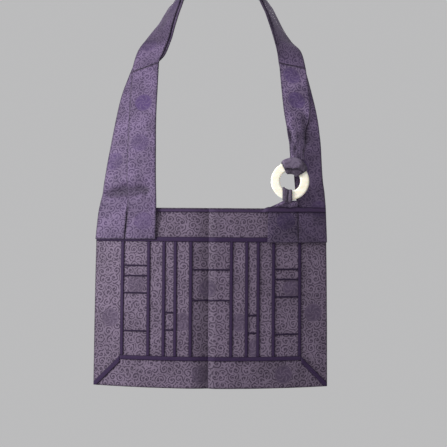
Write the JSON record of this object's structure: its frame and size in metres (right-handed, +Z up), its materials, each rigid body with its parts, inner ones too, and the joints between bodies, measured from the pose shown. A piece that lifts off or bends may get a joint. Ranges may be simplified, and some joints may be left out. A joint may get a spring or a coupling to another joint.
{
  "type": "rakusu",
  "caption": "Pieced cloth panel worn on the chest, hung from flat straps round the neck, one side joined by a knotted ring.",
  "frame": {"origin": "middle of the inner face of the neck straps at the nape, where the wearer's neck holds them", "axes": "+Z up, -Y forward, the way the wearer faces, and +X to the wearer's left, which is the viewer's right"},
  "size_m": [0.3246, 0.1918, 0.6087],
  "materials": {
    "figured_cloth": "purple figured weave with scrolls and round motifs, slight sheen",
    "plain_cloth": "plain dark purple weave",
    "ring": "polished ivory-coloured resin"
  },
  "bodies": {
    "root": {"band_a": "plain_cloth", "band_b": "plain_cloth", "band_bottom": "plain_cloth", "band_c": "plain_cloth", "band_d": "plain_cloth", "band_e": "plain_cloth", "band_f": "plain_cloth", "band_g": "plain_cloth", "band_h": "plain_cloth", "band_i": "plain_cloth", "band_j": "plain_cloth", "band_mitre_left": "plain_cloth", "band_mitre_right": "plain_cloth", "band_top": "plain_cloth", "border_bottom": "figured_cloth", "border_left": "figured_cloth", "border_right": "figured_cloth", "border_top": "figured_cloth", "column_1": "figured_cloth", "column_1_tape_1": "plain_cloth", "column_1_tape_2": "plain_cloth", "column_1_tape_3": "plain_cloth", "column_1_tape_4": "plain_cloth", "column_2_left": "figured_cloth", "column_2_middle": "figured_cloth", "column_2_middle_tape_1": "plain_cloth", "column_2_middle_tape_2": "plain_cloth", "column_2_right": "figured_cloth", "column_3": "figured_cloth", "column_3_tape_1": "plain_cloth", "column_3_tape_2": "plain_cloth", "column_4_left": "figured_cloth", "column_4_middle": "figured_cloth", "column_4_middle_tape_1": "plain_cloth", "column_4_middle_tape_2": "plain_cloth", "column_4_right": "figured_cloth", "column_5": "figured_cloth", "column_5_tape_1": "plain_cloth", "column_5_tape_2": "plain_cloth", "column_5_tape_3": "plain_cloth", "column_5_tape_4": "plain_cloth", "knot": "figured_cloth", "piping_top": "plain_cloth", "ring": "ring", "ring_loop": "figured_cloth", "strap_lower_left": "figured_cloth", "strap_lower_neck": "figured_cloth", "strap_lower_right": "figured_cloth", "strap_ring_end": "figured_cloth", "strap_upper_left": "figured_cloth", "strap_upper_neck": "figured_cloth", "strap_upper_right": "figured_cloth"}
  },
  "joints": []
}
